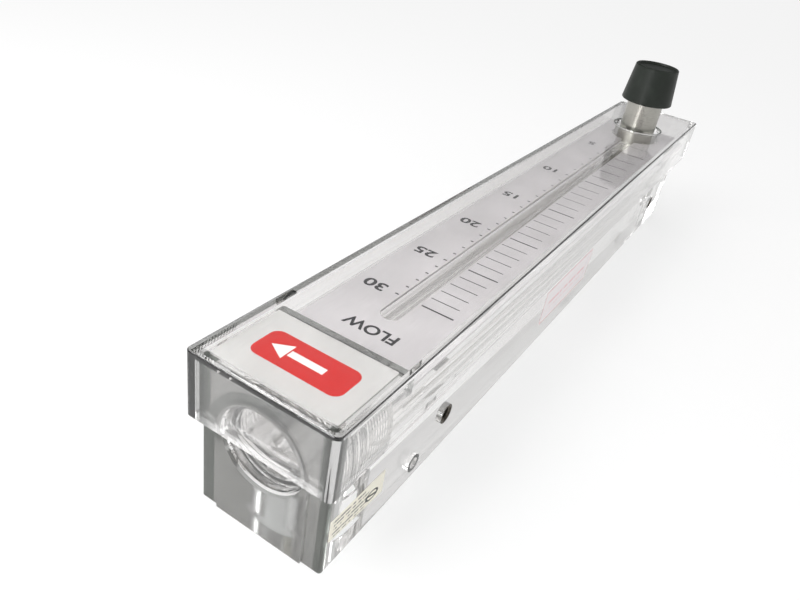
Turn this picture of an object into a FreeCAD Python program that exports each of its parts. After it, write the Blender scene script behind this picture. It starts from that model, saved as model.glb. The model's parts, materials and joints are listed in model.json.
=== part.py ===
import FreeCAD, Part
import os

import Sketcher

# A panel-mount variable-area flow meter, lying on its back.
# X is the meter's width, Y its length with the outlet (top) end at -Y and the valve (bottom) end at +Y,
# and Z rises from the flat back, z = 0, out of the front face. Lengths are in millimetres.

SIZES = {
    # the clear cover that clips over the front
    "cover_overhang": 24.1,
    "cover_width": 51.0,
    "cover_face": 56.0,
    "cover_depth": 22.5,
    "cover_wall": 2.6,
    "cover_roof": 2.8,
    "cover_corner": 1.8,
    "cover_inner_corner": 0.8,
    "cover_rim": 0.6,
    "cover_side_gap": 0.15,
    "cover_end_gap": 1.1,
    "cover_hole": 27.0,
    "nib_length": 12.0,
    "nib_height": 1.4,
    "nib_reach": 0.7,
    "nib_rise": 2.0,
    "nib_gap": 0.25,
    # the clear meter body
    "body_corner": 1.0,
    "land_length": 32.8,
    "land_rise": 5.0,
    "end_pad_width": 32.0,
    "end_pad_proud": 0.8,
    "boss_width": 25.6,
    "boss_gap": 0.6,
    "recess_depth": 0.6,
    "recess_gap": 0.15,
    # the metering tube and its two ports
    "tube_height": 33.0,
    "tube_low_bore": 13.0,
    "tube_high_bore": 17.0,
    "chamber_bore": 25.0,
    "chamber_floor": 3.3,
    "passage_bore": 7.0,
    "outlet_from_end": 20.25,
    "inlet_from_end": 25.0,
    "port_spacing": 311.15,
    "port_bore": 18.26,
    "port_mouth": 21.8,
    "port_depth": 15.0,
    "port_chamfer": 1.6,
    "outlet_bore": 14.0,
    # the scale and the badge
    "scale_margin": 1.4,
    "scale_thick": 1.0,
    "scale_slot": 7.5,
    "scale_slot_start": 26.1,
    "scale_hole": 27.6,
    "scale_end_margin": 1.5,
    "badge_side_margin": 1.4,
    "badge_near_margin": 1.3,
    "badge_gap": 0.3,
    "plate_film": 0.06,
    "thread_film": 0.08,
    "badge_length": 27.8,
    "badge_thick": 0.8,
    "badge_corner": 0.4,
    # the top plug with its seal
    "plug_thread": 29.0,
    "plug_length": 13.5,
    "plug_inset": 0.6,
    "plug_slot_width": 4.0,
    "plug_slot_depth": 3.0,
    "plug_boss": 20.0,
    "plug_boss_length": 5.0,
    "plug_nose": 8.0,
    "plug_nose_tip": 6.0,
    "plug_edge": 1.0,
    "seal_section": 2.2,
    "seal_from_end": 2.6,
    # the float, its rod and its lower stop
    "rod_width": 1.6,
    "rod_seat": 12.0,
    "float_width": 12.2,
    "float_length": 14.0,
    "float_head": 2.6,
    "float_waist": 8.6,
    "float_tip": 5.0,
    "float_taper": 5.2,
    "float_bore_gap": 0.06,
    "float_travel": 250.0,
    "stop_gap": 0.3,
    "stop_thick": 3.0,
    "stop_hole": 2.6,
    "stop_hole_ring": 8.4,
    "stop_from_inlet": 9.0,
    # the metering valve
    "orifice_floor": 3.0,
    "orifice_bore": 6.4,
    "seat_width": 11.0,
    "seat_height": 5.0,
    "seat_bore": 5.0,
    "seat_mouth": 7.0,
    "valve_chamber": 16.0,
    "barrel_width": 20.4,
    "barrel_seat": 41.0,
    "barrel_top": 76.0,
    "barrel_edge": 0.8,
    "pilot_gap": 0.05,
    "pilot_length": 4.0,
    "barrel_seal_section": 1.6,
    "stem_bore": 6.1,
    "stem_bore_top": 50.0,
    "stem_fit": 0.05,
    "stem_thread": 7.8,
    "stem_thread_length": 11.0,
    "stem_thread_play": 3.6,
    "stem_shank": 6.35,
    "stem_foot_length": 3.0,
    "needle_width": 4.8,
    "needle_tip_width": 1.2,
    "needle_lift": 3.0,
    "needle_length": 6.5,
    "stem_seal_section": 1.0,
    "stem_seal_height": 45.0,
    "seal_side_gap": 0.2,
    # the knob and its set screw
    "knob_over_barrel": 4.5,
    "knob_height": 20.5,
    "knob_roof": 1.0,
    "knob_low_width": 29.0,
    "knob_high_width": 24.6,
    "knob_rim": 0.9,
    "knob_dish": 1.0,
    "knob_edge": 0.5,
    "knob_cavity": 21.4,
    "knob_cavity_height": 8.5,
    "screw_width": 3.0,
    "screw_length": 7.5,
    "screw_height": 14.0,
    "screw_socket": 1.5,
    "screw_socket_depth": 2.0,
    "shank_flat": 0.5,
    # the threaded inserts in the sides
    "insert_width": 7.6,
    "insert_bore": 4.8,
    "insert_mouth": 6.2,
    "insert_length": 9.0,
    "insert_height": 14.5,
    "insert_from_near": 67.8,
    "insert_from_far": 28.5,
    # the two stickers on the right side
    "sticker_thick": 0.12,
    "small_sticker_length": 27.0,
    "small_sticker_start": 1.0,
    "small_sticker_tall": 8.3,
    "small_sticker_short": 9.3,
    "small_sticker_low": 11.6,
    "small_sticker_drop": 2.3,
    "long_sticker_length": 58.0,
    "long_sticker_height": 16.5,
    "long_sticker_low": 9.4,
    "long_sticker_start": 152.5,
    "overcut": 1.0,
}

CLOSE = 1e-6
STOP_HOLES = 6

doc = FreeCAD.newDocument("flow_meter")
sheet = doc.addObject("Spreadsheet::Sheet", "Sizes")
for row, (word, millimetres) in enumerate(SIZES.items(), start=1):
    sheet.set(f"A{row}", word)
    sheet.set(f"B{row}", str(millimetres))
    sheet.setAlias(f"B{row}", word)
doc.recompute()


class Size:
    """A length that knows its value and the sheet expression that gives it."""

    def __init__(self, value, text):
        self.value = value
        self.text = text

    def joined(self, other, sign, value):
        return Size(value, f"({self.text} {sign} {text_of(other)})")

    def __add__(self, other):
        return self.joined(other, "+", self.value + value_of(other))

    def __sub__(self, other):
        return self.joined(other, "-", self.value - value_of(other))

    def __truediv__(self, other):
        return self.joined(other, "/", self.value / value_of(other))

    def __neg__(self):
        return Size(-self.value, f"(0 - {self.text})")


def value_of(size):
    """The number behind a Size or a plain number."""
    return size.value if isinstance(size, Size) else float(size)


def text_of(size):
    """The expression behind a Size or a plain number."""
    return size.text if isinstance(size, Size) else str(size)


def size_of(word):
    """The Size that a cell of the sheet holds."""
    return Size(float(sheet.get(word)), f"{sheet.Name}.{word}")


def half(word):
    """Half the length that a cell of the sheet holds."""
    return size_of(word) / 2


def bind(thing, path, size):
    """Ties a property of a document object to the sheet."""
    thing.setExpression(path, text_of(size))


def new_piece(label, x=0, y=0, z=0):
    """A PartDesign body whose own origin stands at (x, y, z)."""
    piece = doc.addObject("PartDesign::Body", label)
    piece.Label = label
    for axis, size in (("x", x), ("y", y), ("z", z)):
        if isinstance(size, Size):
            bind(piece, f"Placement.Base.{axis}", size)
    return piece


def new_sketch(piece, name, plane, shift):
    """An empty sketch on one of the piece's own planes, shifted by its own x, y and z."""
    sketch = piece.newObject("Sketcher::SketchObject", name)
    support = [part for part in piece.Origin.OriginFeatures if part.Role == plane][0]
    sketch.AttachmentSupport = [(support, "")]
    sketch.MapMode = "FlatFace"
    for axis, size in shift.items():
        bind(sketch, f"AttachmentOffset.Base.{axis}", size)
    return sketch


def hold_point(sketch, edge, end, x, y):
    """Holds one point of a sketch at its distances from the sketch's origin."""
    for kind, axis, size in (("DistanceX", -2, x), ("DistanceY", -1, y)):
        if isinstance(size, Size):
            held = sketch.addConstraint(Sketcher.Constraint(kind, -1, 1, edge, end, size.value))
            bind(sketch, f"Constraints[{held}]", size)
        else:
            sketch.addConstraint(Sketcher.Constraint("PointOnObject", edge, end, axis))


def outline(piece, name, plane, corners, **shift):
    """A closed sketch of straight edges. A corner's coordinate is a Size, or 0 on an axis."""
    sketch = new_sketch(piece, name, plane, shift)
    points = [FreeCAD.Vector(value_of(x), value_of(y), 0) for x, y in corners]
    for start, end in zip(points, points[1:] + points[:1]):
        sketch.addGeometry(Part.LineSegment(start, end), False)
    for edge, (x, y) in enumerate(corners):
        following = (edge + 1) % len(corners)
        sketch.addConstraint(Sketcher.Constraint("Coincident", edge, 2, following, 1))
        hold_point(sketch, edge, 1, x, y)
    return sketch


def rectangle(piece, name, plane, left, right, low, high, **shift):
    """A closed rectangular sketch between two x and two y distances."""
    corners = [(left, low), (right, low), (right, high), (left, high)]
    return outline(piece, name, plane, corners, **shift)


def circles(piece, name, plane, centres, radius, **shift):
    """A sketch of equal circles."""
    sketch = new_sketch(piece, name, plane, shift)
    up = FreeCAD.Vector(0, 0, 1)
    for edge, (x, y) in enumerate(centres):
        centre = FreeCAD.Vector(value_of(x), value_of(y), 0)
        sketch.addGeometry(Part.Circle(centre, up, value_of(radius)), False)
        hold_point(sketch, edge, 3, x, y)
        held = sketch.addConstraint(Sketcher.Constraint("Radius", edge, value_of(radius)))
        bind(sketch, f"Constraints[{held}]", radius)
    return sketch


def pad(piece, sketch, length):
    """Adds material on the side that the sketch faces."""
    feature = piece.newObject("PartDesign::Pad", sketch.Name + "_pad")
    feature.Profile = sketch
    bind(feature, "Length", length)
    doc.recompute()
    return feature


def pocket(piece, sketch, length):
    """Takes material away behind the sketch."""
    before = piece.Shape.Volume
    feature = piece.newObject("PartDesign::Pocket", sketch.Name + "_pocket")
    feature.Profile = sketch
    bind(feature, "Length", length)
    doc.recompute()
    if piece.Shape.Volume >= before:
        raise RuntimeError(f"{feature.Name} removes nothing")
    return feature


def turn(piece, sketch, axis):
    """Turns a profile all the way round one of its sketch's axes."""
    feature = piece.newObject("PartDesign::Revolution", sketch.Name + "_turned")
    feature.Profile = sketch
    feature.ReferenceAxis = (sketch, [axis])
    feature.Angle = 360
    doc.recompute()
    return feature


def bore(piece, sketch, axis):
    """Cuts a turned profile out of the piece."""
    before = piece.Shape.Volume
    feature = piece.newObject("PartDesign::Groove", sketch.Name + "_bored")
    feature.Profile = sketch
    feature.ReferenceAxis = (sketch, [axis])
    feature.Angle = 360
    doc.recompute()
    if piece.Shape.Volume >= before:
        raise RuntimeError(f"{feature.Name} removes nothing")
    return feature


def mirror(piece, feature, plane):
    """Repeats a feature on the other side of one of the piece's planes."""
    mirrored = piece.newObject("PartDesign::Mirrored", feature.Name + "_mirrored")
    mirrored.Originals = [feature]
    support = [part for part in piece.Origin.OriginFeatures if part.Role == plane][0]
    mirrored.MirrorPlane = (support, [""])
    piece.Tip = mirrored
    doc.recompute()
    return mirrored


def edges_where(feature, test):
    """The names of the feature's straight edges whose two ends pass a test."""
    names = []
    for number, edge in enumerate(feature.Shape.Edges, start=1):
        if len(edge.Vertexes) == 2 and test(edge.Vertexes[0].Point, edge.Vertexes[1].Point):
            names.append(f"Edge{number}")
    return names


def upright(first, second):
    """Whether an edge stands along Z."""
    return abs(first.x - second.x) < CLOSE and abs(first.y - second.y) < CLOSE


def soften(piece, feature, names, radius, name):
    """Rounds the named edges of a feature."""
    fillet = piece.newObject("PartDesign::Fillet", name)
    fillet.Base = (feature, names)
    bind(fillet, "Radius", radius)
    doc.recompute()
    return fillet


over = size_of("overcut")

# Places that several pieces share.
body_length = size_of("port_spacing") + size_of("outlet_from_end") + size_of("inlet_from_end")
cover_end = size_of("cover_wall") + size_of("cover_end_gap")
cover_length = cover_end + body_length + size_of("cover_overhang")
cover_near = -cover_length / 2
cover_far = cover_length / 2
cover_base = size_of("cover_face") - size_of("cover_depth")
cover_ceiling = size_of("cover_face") - size_of("cover_roof")
cavity_half = half("cover_width") - size_of("cover_wall")
body_half = cavity_half - size_of("cover_side_gap")
body_near = cover_near + cover_end
body_far = body_near + body_length
land_end = body_near + size_of("land_length")
inlet_y = body_far - size_of("inlet_from_end")
outlet_y = inlet_y - size_of("port_spacing")
tube_z = size_of("tube_height")
land_top = cover_ceiling - size_of("badge_gap") - size_of("badge_thick") - size_of("plate_film")
deck = land_top - size_of("land_rise")
boss_top = cover_ceiling - size_of("boss_gap")
scale_half = body_half - size_of("scale_margin")
recess_floor = deck - size_of("recess_depth")
pad_face = body_near - size_of("end_pad_proud")
plug_face = body_near + size_of("plug_inset")
plug_back = plug_face + size_of("plug_length")
tube_start = land_end - size_of("chamber_floor")
stop_far = inlet_y - size_of("stop_from_inlet")
stop_near = stop_far - size_of("stop_thick")
float_low = stop_near - size_of("stop_gap")
float_high = float_low - size_of("float_length")
nose_tip = float_high - size_of("float_travel") - size_of("stop_gap")
orifice_top = size_of("port_depth") + size_of("orifice_floor")
seat_top = orifice_top + size_of("seat_height")
barrel_foot = size_of("barrel_seat") - size_of("pilot_length")
knob_bottom = size_of("barrel_top") - size_of("knob_over_barrel")
knob_top = knob_bottom + size_of("knob_height")
stem_top = knob_top - size_of("knob_dish") - size_of("knob_roof")
screw_z = knob_bottom + size_of("screw_height")
insert_places = (
    ("near", body_near + size_of("insert_from_near")),
    ("far", body_far - size_of("insert_from_far")),
)
nib_z = cover_base + size_of("nib_rise")


def build_meter_body():
    """The clear moulded block: the metering tube, both ports and the valve chamber are bored in it."""
    piece = new_piece("meter_body")
    block = rectangle(piece, "block", "XY_Plane", -body_half, body_half, body_near, body_far)
    pad(piece, block, deck)
    land = rectangle(piece, "land", "XY_Plane", -body_half, body_half, body_near, land_end)
    land_pad = pad(piece, land, land_top)
    soften(piece, land_pad, edges_where(land_pad, upright), size_of("body_corner"), "block_corners")
    edge = scale_half + size_of("recess_gap")
    recess = rectangle(piece, "recess", "XY_Plane", -edge, edge, land_end, body_far + over, z=deck)
    pocket(piece, recess, size_of("recess_depth"))
    boss = circles(piece, "boss", "XY_Plane", [(0, inlet_y)], half("boss_width"), z=recess_floor)
    pad(piece, boss, boss_top - recess_floor)
    side = half("end_pad_width")
    arch = circles(piece, "end_arch", "XZ_Plane", [(0, tube_z)], side, z=-body_near - over)
    pad(piece, arch, over + size_of("end_pad_proud"))
    legs = outline(
        piece,
        "end_legs",
        "XZ_Plane",
        [(-side, 0), (side, 0), (side, tube_z), (-side, tube_z)],
        z=-body_near - over,
    )
    pad(piece, legs, over + size_of("end_pad_proud"))

    low = half("tube_low_bore")
    high = half("tube_high_bore")
    thread = half("plug_thread")
    chamber = half("chamber_bore")
    passage = half("passage_bore")
    tube = outline(
        piece,
        "tube",
        "YZ_Plane",
        [
            (pad_face - over, 0),
            (pad_face - over, thread),
            (plug_back, thread),
            (plug_back, chamber),
            (tube_start, chamber),
            (tube_start, high),
            (stop_near, low),
            (stop_far, low),
            (stop_far, passage),
            (inlet_y, passage),
            (inlet_y, 0),
        ],
        y=tube_z,
    )
    bore(piece, tube, "H_Axis")

    port = half("port_bore")
    mouth = half("port_mouth")
    valve = outline(
        piece,
        "valve",
        "XZ_Plane",
        [
            (0, -over),
            (mouth, -over),
            (mouth, 0),
            (port, size_of("port_chamfer")),
            (port, size_of("port_depth")),
            (half("orifice_bore"), size_of("port_depth")),
            (half("orifice_bore"), orifice_top),
            (half("seat_width"), orifice_top),
            (half("seat_width"), seat_top),
            (half("valve_chamber"), seat_top),
            (half("valve_chamber"), size_of("barrel_seat")),
            (half("barrel_width"), size_of("barrel_seat")),
            (half("barrel_width"), boss_top + over),
            (0, boss_top + over),
        ],
        z=-inlet_y,
    )
    bore(piece, valve, "V_Axis")

    outlet = outline(
        piece,
        "outlet",
        "XZ_Plane",
        [
            (0, -over),
            (mouth, -over),
            (mouth, 0),
            (port, size_of("port_chamfer")),
            (port, size_of("port_depth")),
            (half("outlet_bore"), size_of("port_depth")),
            (half("outlet_bore"), tube_z),
            (0, tube_z),
        ],
        z=-outlet_y,
    )
    bore(piece, outlet, "V_Axis")

    holes = circles(
        piece,
        "insert_holes",
        "YZ_Plane",
        [(y, size_of("insert_height")) for _, y in insert_places],
        half("insert_width"),
        z=body_half,
    )
    mirror(piece, pocket(piece, holes, size_of("insert_length")), "YZ_Plane")

    groove_half = half("nib_length") + size_of("nib_gap")
    groove_depth = size_of("nib_reach") + size_of("nib_gap") - size_of("cover_side_gap")
    for name, y in insert_places:
        groove = rectangle(
            piece,
            f"{name}_groove",
            "YZ_Plane",
            y - groove_half,
            y + groove_half,
            nib_z - size_of("nib_gap"),
            nib_z + size_of("nib_height") + size_of("nib_gap"),
            z=body_half,
        )
        mirror(piece, pocket(piece, groove, groove_depth), "YZ_Plane")


def build_front_cover():
    """The clear shell that clips over the front, with a round hole for the valve."""
    piece = new_piece("front_cover")
    wide = half("cover_width")
    block = rectangle(piece, "shell", "XY_Plane", -wide, wide, cover_near, cover_far, z=cover_base)
    block_pad = pad(piece, block, size_of("cover_depth"))
    uprights = edges_where(block_pad, upright)
    corners = soften(piece, block_pad, uprights, size_of("cover_corner"), "corners")
    top = [
        f"Edge{number}"
        for number, edge in enumerate(corners.Shape.Edges, start=1)
        if edge.BoundBox.ZMin > value_of(size_of("cover_face")) - CLOSE
    ]
    soften(piece, corners, top, size_of("cover_rim"), "rim")

    hollow = rectangle(
        piece,
        "hollow",
        "XY_Plane",
        -cavity_half,
        cavity_half,
        cover_near + size_of("cover_wall"),
        cover_far - size_of("cover_wall"),
        z=cover_ceiling,
    )
    hollow_cut = pocket(piece, hollow, size_of("cover_depth"))
    inner = [
        name
        for name in edges_where(hollow_cut, upright)
        if abs(hollow_cut.Shape.getElement(name).Vertexes[0].X) < value_of(cavity_half) + CLOSE
        and abs(hollow_cut.Shape.getElement(name).Vertexes[0].X) > value_of(cavity_half) - CLOSE
    ]
    soften(piece, hollow_cut, inner, size_of("cover_inner_corner"), "inner_corners")

    face = size_of("cover_face")
    opening = circles(piece, "valve_hole", "XY_Plane", [(0, inlet_y)], half("cover_hole"), z=face)
    pocket(piece, opening, size_of("cover_depth"))

    nib_half = half("nib_length")
    for name, y in insert_places:
        nib = rectangle(
            piece,
            f"{name}_nib",
            "YZ_Plane",
            y - nib_half,
            y + nib_half,
            nib_z,
            nib_z + size_of("nib_height"),
            z=cavity_half - size_of("nib_reach"),
        )
        mirror(piece, pad(piece, nib, size_of("nib_reach") + half("cover_wall")), "YZ_Plane")


def build_scale_plate():
    """The flat metal scale, slotted over the tube and open round the valve."""
    piece = new_piece("scale_plate", z=recess_floor + size_of("plate_film"))
    slot = half("scale_slot")
    far = body_far - size_of("scale_end_margin")
    slot_start = land_end + size_of("scale_slot_start")
    sheet_metal = rectangle(piece, "sheet", "XY_Plane", -scale_half, scale_half, land_end, far)
    thick = size_of("scale_thick")
    pad(piece, sheet_metal, thick)
    window = rectangle(piece, "window", "XY_Plane", -slot, slot, slot_start, inlet_y, z=thick)
    pocket(piece, window, thick)
    round_end = circles(piece, "window_end", "XY_Plane", [(0, slot_start)], slot, z=thick)
    pocket(piece, round_end, thick)
    hole = circles(piece, "valve_hole", "XY_Plane", [(0, inlet_y)], half("scale_hole"), z=thick)
    pocket(piece, hole, thick)


def build_badge_plate():
    """The thin plate bonded to the raised land at the outlet end."""
    piece = new_piece("badge_plate", z=land_top + size_of("plate_film"))
    wide = body_half - size_of("badge_side_margin")
    start = body_near + size_of("badge_near_margin")
    plate = rectangle(piece, "plate", "XY_Plane", -wide, wide, start, start + size_of("badge_length"))
    plate_pad = pad(piece, plate, size_of("badge_thick"))
    soften(piece, plate_pad, edges_where(plate_pad, upright), size_of("badge_corner"), "plate_corners")


def build_end_plug():
    """The threaded plug that closes the tube, with a driver slot outside and the rod holder inside."""
    piece = new_piece("end_plug", z=tube_z)
    thread = half("plug_thread") - size_of("thread_film")
    boss = half("plug_boss")
    nose = half("plug_nose")
    edge = size_of("plug_edge")
    groove = half("plug_thread") - size_of("seal_section")
    seal_far = plug_back - size_of("seal_from_end")
    seal_near = seal_far - size_of("seal_section") - size_of("seal_side_gap")
    rod = half("rod_width")
    profile = outline(
        piece,
        "profile",
        "YZ_Plane",
        [
            (plug_face, 0),
            (plug_face, thread - edge),
            (plug_face + edge, thread),
            (seal_near, thread),
            (seal_near, groove),
            (seal_far, groove),
            (seal_far, thread),
            (plug_back, thread),
            (plug_back, boss),
            (plug_back + size_of("plug_boss_length"), boss),
            (plug_back + size_of("plug_boss_length"), nose),
            (nose_tip - nose, nose),
            (nose_tip, half("plug_nose_tip")),
            (nose_tip, rod),
            (nose_tip - size_of("rod_seat"), rod),
            (nose_tip - size_of("rod_seat"), 0),
        ],
    )
    turn(piece, profile, "H_Axis")
    slot = half("plug_slot_width")
    reach = thread + over
    driver = rectangle(piece, "driver_slot", "XZ_Plane", -reach, reach, -slot, slot, z=-plug_face)
    pocket(piece, driver, size_of("plug_slot_depth"))


def build_ring(label, inner, outer, section, x=0, y=0, z=0, along_y=False):
    """An O-ring that sits between an inner and an outer radius."""
    ring = doc.addObject("Part::Torus", label)
    ring.Label = label
    bind(ring, "Radius1", (inner + outer) / 2)
    bind(ring, "Radius2", section / 2)
    if along_y:
        ring.Placement.Rotation = FreeCAD.Rotation(FreeCAD.Vector(1, 0, 0), 90)
    for axis, size in (("x", x), ("y", y), ("z", z)):
        if isinstance(size, Size):
            bind(ring, f"Placement.Base.{axis}", size)


def build_seals():
    """The three O-rings: at the plug, under the barrel and on the stem."""
    thread = half("plug_thread")
    groove = size_of("seal_section") + size_of("seal_side_gap")
    seal_y = plug_back - size_of("seal_from_end") - groove / 2
    build_ring(
        "plug_seal",
        thread - size_of("seal_section"),
        thread,
        size_of("seal_section") - size_of("pilot_gap"),
        y=seal_y,
        z=tube_z,
        along_y=True,
    )
    chamber = half("valve_chamber")
    section = size_of("barrel_seal_section")
    build_ring(
        "barrel_seal",
        chamber - section,
        chamber,
        section - size_of("pilot_gap"),
        y=inlet_y,
        z=size_of("barrel_seat") - size_of("pilot_length") / 2,
    )
    stem = half("stem_bore")
    section = size_of("stem_seal_section")
    build_ring(
        "stem_seal",
        stem - section - size_of("stem_fit"),
        stem,
        section,
        y=inlet_y,
        z=size_of("stem_seal_height"),
    )


def build_guide_rod():
    """The thin rod that the float runs on."""
    length = stop_far - nose_tip + size_of("rod_seat")
    rod = doc.addObject("Part::Cylinder", "guide_rod")
    rod.Label = "guide_rod"
    bind(rod, "Radius", half("rod_width"))
    bind(rod, "Height", length)
    rod.Placement.Rotation = FreeCAD.Rotation(FreeCAD.Vector(1, 0, 0), -90)
    bind(rod, "Placement.Base.y", nose_tip - size_of("rod_seat"))
    bind(rod, "Placement.Base.z", tube_z)


def build_float():
    """The turned float: a sharp reading edge at its head, a waist and a tapered foot."""
    piece = new_piece("float", z=tube_z)
    hole = half("rod_width") + size_of("float_bore_gap")
    head = half("float_width")
    waist = half("float_waist")
    shoulder = float_high + size_of("float_head")
    profile = outline(
        piece,
        "profile",
        "YZ_Plane",
        [
            (float_high, hole),
            (float_high, head),
            (shoulder, waist),
            (float_low - size_of("float_taper"), waist),
            (float_low, half("float_tip")),
            (float_low, hole),
        ],
    )
    turn(piece, profile, "H_Axis")


def build_lower_stop():
    """The drilled disc at the foot of the tube, which holds the rod and stops the float."""
    piece = new_piece("lower_stop", z=tube_z)
    rod = half("rod_width")
    disc = outline(
        piece,
        "disc",
        "YZ_Plane",
        [
            (stop_near, rod),
            (stop_near, half("tube_low_bore")),
            (stop_far, half("tube_low_bore")),
            (stop_far, rod),
        ],
    )
    turn(piece, disc, "H_Axis")
    centre = (0, half("stop_hole_ring"))
    hole = circles(piece, "flow_hole", "XZ_Plane", [centre], half("stop_hole"), z=-stop_near)
    cut = pocket(piece, hole, size_of("stop_thick"))
    ring = piece.newObject("PartDesign::PolarPattern", "flow_holes")
    ring.Originals = [cut]
    support = [part for part in piece.Origin.OriginFeatures if part.Role == "Y_Axis"][0]
    ring.Axis = (support, [""])
    ring.Angle = 360
    ring.Occurrences = STOP_HOLES
    piece.Tip = ring
    doc.recompute()


def build_valve_seat():
    """The seat ring that the needle closes."""
    piece = new_piece("valve_seat", y=inlet_y)
    profile = outline(
        piece,
        "profile",
        "XZ_Plane",
        [
            (half("seat_bore"), orifice_top),
            (half("seat_width"), orifice_top),
            (half("seat_width"), seat_top),
            (half("seat_mouth"), seat_top),
            (half("seat_bore"), seat_top - (size_of("seat_mouth") - size_of("seat_bore")) / 2),
        ],
    )
    turn(piece, profile, "V_Axis")


def build_valve_barrel():
    """The plain steel barrel that screws into the body and carries the stem."""
    piece = new_piece("valve_barrel", y=inlet_y)
    outer = half("barrel_width")
    pilot = half("valve_chamber") - size_of("pilot_gap")
    groove = half("valve_chamber") - size_of("barrel_seal_section")
    inner = half("stem_bore")
    thread = half("stem_thread") + size_of("stem_fit")
    seat = size_of("barrel_seat")
    top = size_of("barrel_top")
    edge = size_of("barrel_edge")
    seal_half = (size_of("barrel_seal_section") + size_of("seal_side_gap")) / 2
    seal_z = seat - size_of("pilot_length") / 2
    profile = outline(
        piece,
        "profile",
        "XZ_Plane",
        [
            (inner, barrel_foot),
            (pilot, barrel_foot),
            (pilot, seal_z - seal_half),
            (groove, seal_z - seal_half),
            (groove, seal_z + seal_half),
            (pilot, seal_z + seal_half),
            (pilot, seat),
            (outer, seat),
            (outer, top - edge),
            (outer - edge, top),
            (thread, top),
            (thread, size_of("stem_bore_top")),
            (inner, size_of("stem_bore_top")),
        ],
    )
    turn(piece, profile, "V_Axis")


def build_valve_stem():
    """The stem, from the needle at its foot to the shank that the knob grips."""
    piece = new_piece("valve_stem", y=inlet_y)
    body = half("stem_bore") - size_of("stem_fit")
    groove = body - size_of("stem_seal_section") - size_of("stem_fit")
    needle = half("needle_width")
    needle_start = seat_top + size_of("needle_lift")
    foot = barrel_foot - size_of("stem_foot_length")
    thread = half("stem_thread")
    shank = half("stem_shank")
    seal = size_of("stem_seal_height")
    seal_half = size_of("stem_seal_section") / 2 + size_of("seal_side_gap")
    thread_start = size_of("stem_bore_top") + size_of("stem_thread_play")
    thread_end = thread_start + size_of("stem_thread_length")
    profile = outline(
        piece,
        "profile",
        "XZ_Plane",
        [
            (0, needle_start - size_of("needle_length")),
            (half("needle_tip_width"), needle_start - size_of("needle_length")),
            (needle, needle_start),
            (needle, foot),
            (body, foot),
            (body, seal - seal_half),
            (groove, seal - seal_half),
            (groove, seal + seal_half),
            (body, seal + seal_half),
            (body, thread_start),
            (thread, thread_start),
            (thread, thread_end),
            (shank, thread_end),
            (shank, stem_top),
            (0, stem_top),
        ],
    )
    turn(piece, profile, "V_Axis")
    flat = rectangle(
        piece,
        "flat",
        "XZ_Plane",
        -shank - over,
        shank + over,
        screw_z - size_of("screw_width"),
        stem_top + over,
        z=size_of("shank_flat") - shank,
    )
    pocket(piece, flat, size_of("shank_flat") + over)


def build_knob():
    """The tapered black knob: a dished top, a skirt over the barrel and a hub on the shank."""
    piece = new_piece("knob", y=inlet_y)
    low = half("knob_low_width")
    high = half("knob_high_width")
    bottom = knob_bottom
    top = knob_top
    rim = high - size_of("knob_rim")
    cavity = half("knob_cavity")
    ceiling = bottom + size_of("knob_cavity_height")
    shank = half("stem_shank")
    edge = size_of("knob_edge")
    profile = outline(
        piece,
        "profile",
        "XZ_Plane",
        [
            (cavity, bottom),
            (low - edge, bottom),
            (low, bottom + edge),
            (high, top - edge),
            (high - edge, top),
            (rim, top),
            (rim - edge, top - size_of("knob_dish")),
            (0, top - size_of("knob_dish")),
            (0, stem_top),
            (shank, stem_top),
            (shank, ceiling),
            (cavity, ceiling),
        ],
    )
    turn(piece, profile, "V_Axis")
    hole = circles(piece, "screw_hole", "XZ_Plane", [(0, screw_z)], half("screw_width"))
    pocket(piece, hole, low)


def build_set_screw():
    """The headless screw that locks the knob to the flat of the shank."""
    piece = new_piece("knob_set_screw", y=inlet_y, z=screw_z)
    start = half("stem_shank") - size_of("shank_flat")
    end = start + size_of("screw_length")
    width = half("screw_width")
    socket = half("screw_socket")
    profile = outline(
        piece,
        "profile",
        "YZ_Plane",
        [
            (start, 0),
            (start, width),
            (end, width),
            (end, socket),
            (end - size_of("screw_socket_depth"), socket),
            (end - size_of("screw_socket_depth"), 0),
        ],
    )
    turn(piece, profile, "H_Axis")


def build_side_inserts():
    """Four threaded inserts, two in each long side, for the mounting brackets."""
    for name, y in insert_places:
        for side, direction in (("left", -1), ("right", 1)):
            piece = new_piece(f"{side}_{name}_insert", y=y, z=size_of("insert_height"))
            if direction < 0:
                face = -body_half
                back = face + size_of("insert_length")
                lip = face + (size_of("insert_mouth") - size_of("insert_bore")) / 2
            else:
                face = body_half
                back = face - size_of("insert_length")
                lip = face - (size_of("insert_mouth") - size_of("insert_bore")) / 2
            profile = outline(
                piece,
                "profile",
                "XZ_Plane",
                [
                    (face, half("insert_mouth")),
                    (face, half("insert_width")),
                    (back, half("insert_width")),
                    (back, half("insert_bore")),
                    (lip, half("insert_bore")),
                ],
            )
            turn(piece, profile, "H_Axis")


def build_stickers():
    """The two paper stickers on the right side of the body."""
    thick = size_of("sticker_thick")
    small = new_piece("small_sticker")
    near = body_near + size_of("body_corner") + size_of("small_sticker_start")
    far = near + size_of("small_sticker_length")
    low = size_of("small_sticker_low")
    far_low = low - size_of("small_sticker_drop")
    shape = outline(
        small,
        "shape",
        "YZ_Plane",
        [
            (near, low),
            (far, far_low),
            (far, far_low + size_of("small_sticker_short")),
            (near, low + size_of("small_sticker_tall")),
        ],
        z=body_half,
    )
    pad(small, shape, thick)
    long = new_piece("long_sticker")
    start = body_near + size_of("long_sticker_start")
    low = size_of("long_sticker_low")
    strip = rectangle(
        long,
        "strip",
        "YZ_Plane",
        start,
        start + size_of("long_sticker_length"),
        low,
        low + size_of("long_sticker_height"),
        z=body_half,
    )
    pad(long, strip, thick)


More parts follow.
